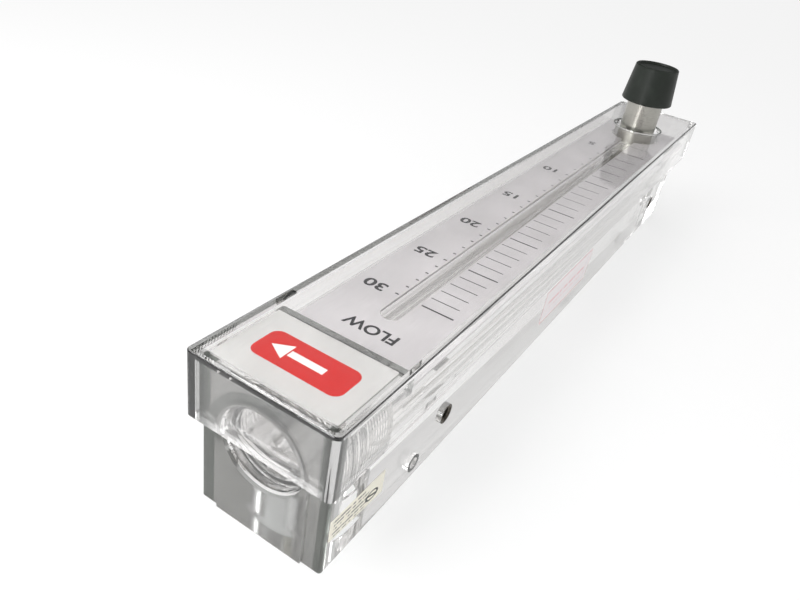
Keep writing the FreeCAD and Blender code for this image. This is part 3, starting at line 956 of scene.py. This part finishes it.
def lifted_sticker(node, glue, material):
    """A sticker whose back stands off the block by a film of glue, and so shows through it."""
    paper = copied_node(node, node.replace("sticker", "label"))
    behind = low(node).x + 0.01 * MM
    for corner in paper.data.vertices:
        corner.select = corner.co.x < behind
    bpy.ops.object.mode_set(mode="EDIT")
    bpy.ops.transform.translate(value=(glue, 0, 0))
    bpy.ops.object.mode_set(mode="OBJECT")
    dress(paper, paper.name, "meter", material)
    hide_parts(node)


def dial_place(scale, flow):
    """Where on the meter's length the float's head reads a flow."""
    return scale.zero - scale.spread * flow**scale.bend


# ---------------------------------------------------------------- pieces


class FLOWMETER_OT_clear_pieces(bpy.types.Operator):
    """Give the block, the cover and the left inserts their clear plastic"""

    bl_idname = "flowmeter.clear_pieces"
    bl_label = "Clear pieces"

    def execute(self, context):
        settings = context.scene.flowmeter_plastic
        body = clear_plastic(
            "body_plastic",
            settings,
            waviness=0.02,
            shaded=body_edges,
            threaded=body_thread,
            hazed=body_haze,
        )
        paint_nodes(["meter_body"], body)
        cover = clear_plastic("cover_plastic", settings, waviness=0.03, shaded=cover_edges)
        paint_nodes(["front_cover"], cover)
        boss = clear_plastic("boss_plastic", settings, waviness=0.02)
        paint_nodes(["left_near_insert", "left_far_insert"], boss)
        return {"FINISHED"}


# The plug's thread starts this far behind the face and stops this far short of the seal.
THREAD_START = 1.9 * MM
THREAD_STOP = 1.2 * MM
# The thread's cutter: how far it stands out of the plug, and the size of its V.
CUTTER_PROUD = 0.1 * MM
CUTTER_SIZE = 0.62 * MM
# Straight steps in one turn of the thread.
TURN_STEPS = 48


class FLOWMETER_OT_threaded_plug(bpy.types.Operator):
    """Cut the turns of the thread in the clear end plug"""

    bl_idname = "flowmeter.threaded_plug"
    bl_label = "Threaded plug"

    def execute(self, context):
        settings = context.scene.flowmeter_plastic
        start = low("end_plug").y + THREAD_START
        end = low("plug_seal").y - THREAD_STOP
        turns = int((end - start) / settings.pitch)
        radius = (high("end_plug").x - low("end_plug").x) / 2
        groove = helical_groove(radius + CUTTER_PROUD, CUTTER_SIZE, settings.pitch, turns)
        groove.rotation_euler = (-math.pi / 2, 0, 0)
        groove.location = (0, start, middle("end_plug").z)
        settle(groove)
        plug = copied_node("end_plug", "threaded_plug")
        cut = plug.modifiers.new("cut", "BOOLEAN")
        cut.operation = "DIFFERENCE"
        cut.solver = "EXACT"
        cut.object = groove
        bpy.ops.object.modifier_apply(modifier="cut")
        discard(groove)
        clear = clear_plastic(
            "plug_plastic", settings, waviness=0.03, shaded=plug_face, hazed=plug_haze
        )
        dress(plug, "threaded_plug", "meter", clear)
        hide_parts("end_plug")
        return {"FINISHED"}


class FLOWMETER_OT_metal_pieces(bpy.types.Operator):
    """Give the scale, the badge, the valve and the rod their metal"""

    bl_idname = "flowmeter.metal_pieces"
    bl_label = "Metal pieces"

    def execute(self, context):
        settings = context.scene.flowmeter_metal
        paint_nodes(["scale_plate"], brushed_plate("scale_metal", settings.plate))
        paint_nodes(["badge_plate"], brushed_plate("badge_metal", settings.badge))
        paint_nodes(["valve_barrel"], turned_steel("barrel_steel", settings.steel, 2))
        paint_nodes(["valve_stem"], turned_steel("stem_steel", settings.steel, 2))
        paint_nodes(["guide_rod", "float"], turned_steel("tube_steel", settings.steel, 1))
        paint_nodes(["right_near_insert", "right_far_insert"], knurled_brass("insert_brass"))
        return {"FINISHED"}


class FLOWMETER_OT_small_pieces(bpy.types.Operator):
    """Give the knob, the seals, the stop, the seat and the set screw their materials"""

    bl_idname = "flowmeter.small_pieces"
    bl_label = "Knob and small pieces"

    def execute(self, context):
        settings = context.scene.flowmeter_knob
        knob = satin_plastic(
            "knob_plastic", settings.colour, roughness=0.36, grain=1800, depth=0.03 * MM
        )
        paint_nodes(["knob"], knob)
        rubber = satin_plastic("seal_rubber", RUBBER, roughness=0.55, grain=2500)
        paint_nodes(["plug_seal", "barrel_seal", "stem_seal"], rubber)
        white = satin_plastic("white_plastic", WHITE_PLASTIC, roughness=0.35, grain=1500)
        paint_nodes(["lower_stop", "valve_seat"], white)
        black = satin_plastic("screw_black", CARBON, roughness=0.3, grain=1500)
        paint_nodes(["knob_set_screw"], black)
        return {"FINISHED"}


# The numbers are this much wider than the plain letters.
DIGIT_WIDTH = 1.25
# A plain line's tick against a numbered line's.
DOT_SHARE = 0.8


class FLOWMETER_OT_scale_print(bpy.types.Operator):
    """Print the lines, ticks and numbers on the scale"""

    bl_idname = "flowmeter.scale_print"
    bl_label = "Scale print"

    def execute(self, context):
        scale = context.scene.flowmeter_scale
        face = high("scale_plate").z
        dot_length = scale.tick * DOT_SHARE
        major = printed_bar(scale.major, scale.major_width, scale.ink)
        minor = printed_bar(scale.minor, scale.minor_width, scale.ink)
        tick = printed_bar(scale.tick, scale.major_width, scale.ink)
        dot = printed_bar(dot_length, scale.major_width, scale.ink)
        marks = []
        numbers = []
        for flow in range(scale.lowest, scale.highest + 1):
            place = dial_place(scale, flow)
            numbered = flow % scale.numbered == 0
            line, length = (major, scale.major) if numbered else (minor, scale.minor)
            short, short_length = (tick, scale.tick) if numbered else (dot, dot_length)
            marks.append(copy_at(line, (scale.inner + length / 2, place, face)))
            marks.append(copy_at(short, (-scale.tick_start - short_length / 2, place, face)))
            if numbered:
                middle_of = (-scale.digit_place, place, face + scale.ink / 2)
                numbers.append(lettering(str(flow), scale.digit, DIGIT_WIDTH, scale.ink, middle_of))
        for pattern in (major, minor, tick, dot):
            discard(pattern)
        black = printed_ink("black_ink", BLACK_INK, 0.5)
        lines = joined(marks)
        settle(lines)
        dress(lines, "scale_lines", "meter", black)
        word_place = (scale.word_side, scale.word_place, face + scale.ink / 2)
        numbers.append(lettering("FLOW", scale.word, 1.0, scale.ink, word_place))
        digits = joined(numbers)
        settle(digits)
        dress(digits, "scale_numbers", "meter", black)
        return {"FINISHED"}


class FLOWMETER_OT_badge_print(bpy.types.Operator):
    """Print a plain red panel with a white flow arrow on the badge"""

    bl_idname = "flowmeter.badge_print"
    bl_label = "Badge print"

    def execute(self, context):
        badge = context.scene.flowmeter_badge
        ink = context.scene.flowmeter_scale.ink
        centre = middle("badge_plate")
        face = high("badge_plate").z
        panel = printed_bar(badge.panel_length, badge.panel_width, ink, badge.panel_corner)
        panel.location = (centre.x, centre.y, face)
        settle(panel)
        red = printed_ink("red_ink", context.scene.flowmeter_metal.red, 0.4)
        dress(panel, "badge_panel", "meter", red)

        clear_selection()
        bpy.ops.mesh.primitive_circle_add(
            vertices=3, radius=badge.head, fill_type="NGON", location=(0, 0, 0)
        )
        head = bpy.context.view_layer.objects.active
        thicken(head, ink)
        head.rotation_euler = (0, 0, math.pi / 2)
        head.location = (centre.x + badge.head_place, centre.y, face + ink)
        tail = printed_bar(badge.tail_length, badge.tail_width, ink)
        tail.location = (centre.x + badge.tail_place, centre.y, face + ink)
        arrow = joined([head, tail])
        settle(arrow)
        white = printed_ink("white_ink", WHITE_INK, 0.4)
        dress(arrow, "badge_arrow", "meter", white)
        return {"FINISHED"}


class FLOWMETER_OT_stickers(bpy.types.Operator):
    """Print the two paper stickers"""

    bl_idname = "flowmeter.stickers"
    bl_label = "Stickers"

    def execute(self, context):
        label = context.scene.flowmeter_label
        lifted_sticker("small_sticker", label.glue, small_label("small_paper", label))
        lifted_sticker("long_sticker", label.glue, long_label("long_paper", label))
        return {"FINISHED"}


# ---------------------------------------------------------------- stage

# The floor lies a little under the meter.
FLOOR_SIZE = 6
FLOOR_GAP = 0.3 * MM
FLOOR_COLOUR = (0.93, 0.93, 0.93, 1)
# How brightly the camera sees the floor's own glow, and the share of that in a mirrored floor.
FLOOR_GLOW = 0.6
FLOOR_MIRRORED = 0.3
# A dark board stands ahead of the viewer, for what the gloss mirrors: the way to it, how far
# off that way it fades in, and between which heights it goes from grey to black.
BOARD_WAY = (-0.39, 0.754, 0.53)
BOARD_FADE = (0.5, 0.75)
BOARD_RISE = (0.18, 0.42)
BOARD_GREY = (0.4, 0.4, 0.41, 1)
BOARD_BLACK = (0.03, 0.03, 0.03, 1)
# The board as clear plastic shows it, and the rest of the room as gloss mirrors it.
BOARD_THROUGH = (0.72, 0.715, 0.715, 1)
ROOM_MIRRORED = (0.5, 0.5, 0.5, 1)
WHITE = (1, 1, 1, 1)
BACKDROP = (0.985, 0.995, 1.0, 1)


class FLOWMETER_OT_stage(bpy.types.Operator):
    """Set the floor, the light and the camera"""

    bl_idname = "flowmeter.stage"
    bl_label = "Stage"

    def execute(self, context):
        settings = context.scene.flowmeter_stage
        self.floor()
        self.surroundings(context, settings)
        self.lamp("window", (-0.3, -0.4, 0.5), size=(0.35, 0.5), power=2.2, aim=(0, 0, 0.05))
        self.lamp("strip", (-0.09, -0.45, 0.16), size=(0.05, 0.3), power=0.5, aim=(0, 0.14, 0.07))
        self.camera(context, settings)
        context.scene.view_settings.view_transform = "Standard"
        self.bounces(context.scene.cycles)
        return {"FINISHED"}

    def floor(self):
        """A pale floor that keeps the soft shadow."""
        clear_selection()
        bpy.ops.mesh.primitive_plane_add(size=FLOOR_SIZE, location=(0, 0, -FLOOR_GAP))
        floor = bpy.context.view_layer.objects.active
        floor.name = "floor"
        settle(floor)
        paint = new_paint("floor_paper")
        plain = paint.node("ShaderNodeBsdfDiffuse", {}, {"Color": FLOOR_COLOUR})
        glow = paint.node("ShaderNodeEmission", {}, {"Color": WHITE, "Strength": 1.0})
        camera, gloss, through = self.rays(paint)
        seen = FLOOR_GLOW * camera.most(through).most(FLOOR_MIRRORED * gloss)
        mix = paint.node("ShaderNodeMixShader", {}, {0: seen, 1: plain, 2: glow})
        floor.data.materials.append(paint.finish(mix))

    def rays(self, paint):
        """What kind of ray meets the stage: straight, mirrored or through clear plastic."""
        kinds = ("Is Camera Ray", "Is Glossy Ray", "Is Transmission Ray")
        return [paint.node("ShaderNodeLightPath", output=kind) for kind in kinds]

    def surroundings(self, context, settings):
        """A white room, with a dark board ahead of the viewer for what the gloss mirrors."""
        context.scene.world = bpy.data.worlds.new("room")
        paint = Paint(context.scene.world)

        def light(tone, strength):
            inputs = {"Color": tone, "Strength": strength}
            return paint.node("ShaderNodeBackground", {}, inputs)

        def mixed(factor, first, second):
            return paint.node("ShaderNodeMixShader", {}, {0: factor, 1: first, 2: second})

        x, y, z = paint.axes("Generated")
        ahead = BOARD_WAY[0] * x + BOARD_WAY[1] * y + BOARD_WAY[2] * z
        board = paint.ramp(ahead, *BOARD_FADE)
        shade = paint.blend(board, WHITE, BOARD_THROUGH)
        board_face = paint.blend(paint.ramp(z, *BOARD_RISE), BOARD_GREY, BOARD_BLACK)
        dark = paint.blend(board, ROOM_MIRRORED, board_face)
        camera, gloss, through = self.rays(paint)
        glossy = mixed(gloss, light(WHITE, settings.fill), light(dark, 1.0))
        seen = mixed(through, glossy, light(shade, 1.0))
        both = mixed(camera, seen, light(BACKDROP, 1.0))
        paint.node("ShaderNodeOutputWorld", {}, {"Surface": both})

    def lamp(self, name, place, size, power, aim):
        """A soft rectangular lamp at a place, aimed at a point."""
        clear_selection()
        bpy.ops.object.light_add(type="AREA", location=place)
        lamp = bpy.context.view_layer.objects.active
        lamp.name = name
        lamp.data.shape = "RECTANGLE"
        lamp.data.size, lamp.data.size_y = size
        lamp.data.energy = power
        lamp.rotation_euler = (Vector(aim) - lamp.location).to_track_quat("-Z", "Y").to_euler()

    def bounces(self, light):
        """Enough bounces for light that runs down inside the long clear block."""
        light.max_bounces = 32
        light.glossy_bounces = 24
        light.transmission_bounces = 32

    def camera(self, context, settings):
        """A camera at the usual viewing angle, turned by its own three directions."""
        clear_selection()
        bpy.ops.object.camera_add(location=settings.place)
        camera = bpy.context.view_layer.objects.active
        camera.name = "view"
        camera.data.lens = settings.lens
        camera.data.sensor_width = 36
        camera.data.clip_start = 0.01
        ahead = Vector((-0.3901, 0.7540, -0.5285)).normalized()
        right = Vector((0.8319, 0.5347, 0.1487))
        right = (right - ahead * right.dot(ahead)).normalized()
        up = right.cross(ahead)
        turn = Matrix((right, up, -ahead)).transposed().to_4x4()
        camera.matrix_world = Matrix.Translation(Vector(settings.place)) @ turn
        context.scene.camera = camera


class FLOWMETER_PT_panel(bpy.types.Panel):
    """The flow meter's steps in the sidebar"""

    bl_idname = "FLOWMETER_PT_panel"
    bl_label = "Flow meter"
    bl_space_type = "VIEW_3D"
    bl_region_type = "UI"
    bl_category = "Flow meter"

    def draw(self, context):
        for step in STEPS:
            self.layout.operator(step.bl_idname)


SETTINGS = {
    "flowmeter_scale": ScaleSettings,
    "flowmeter_plastic": PlasticSettings,
    "flowmeter_metal": MetalSettings,
    "flowmeter_badge": BadgeSettings,
    "flowmeter_label": LabelSettings,
    "flowmeter_knob": KnobSettings,
    "flowmeter_stage": StageSettings,
}

STEPS = (
    FLOWMETER_OT_stage,
    FLOWMETER_OT_clear_pieces,
    FLOWMETER_OT_threaded_plug,
    FLOWMETER_OT_metal_pieces,
    FLOWMETER_OT_small_pieces,
    FLOWMETER_OT_scale_print,
    FLOWMETER_OT_badge_print,
    FLOWMETER_OT_stickers,
)


def register():
    for group in SETTINGS.values():
        bpy.utils.register_class(group)
    for step in STEPS:
        bpy.utils.register_class(step)
    bpy.utils.register_class(FLOWMETER_PT_panel)
    for name, group in SETTINGS.items():
        setattr(bpy.types.Scene, name, PointerProperty(type=group))


def unregister():
    for name in SETTINGS:
        delattr(bpy.types.Scene, name)
    bpy.utils.unregister_class(FLOWMETER_PT_panel)
    for step in reversed(STEPS):
        bpy.utils.unregister_class(step)
    for group in reversed(SETTINGS.values()):
        bpy.utils.unregister_class(group)


def main():
    register()
    bpy.ops.flowmeter.stage()
    bpy.ops.flowmeter.clear_pieces()
    bpy.ops.flowmeter.threaded_plug()
    bpy.ops.flowmeter.metal_pieces()
    bpy.ops.flowmeter.small_pieces()
    bpy.ops.flowmeter.scale_print()
    bpy.ops.flowmeter.badge_print()
    bpy.ops.flowmeter.stickers()


if __name__ == "__main__":
    main()
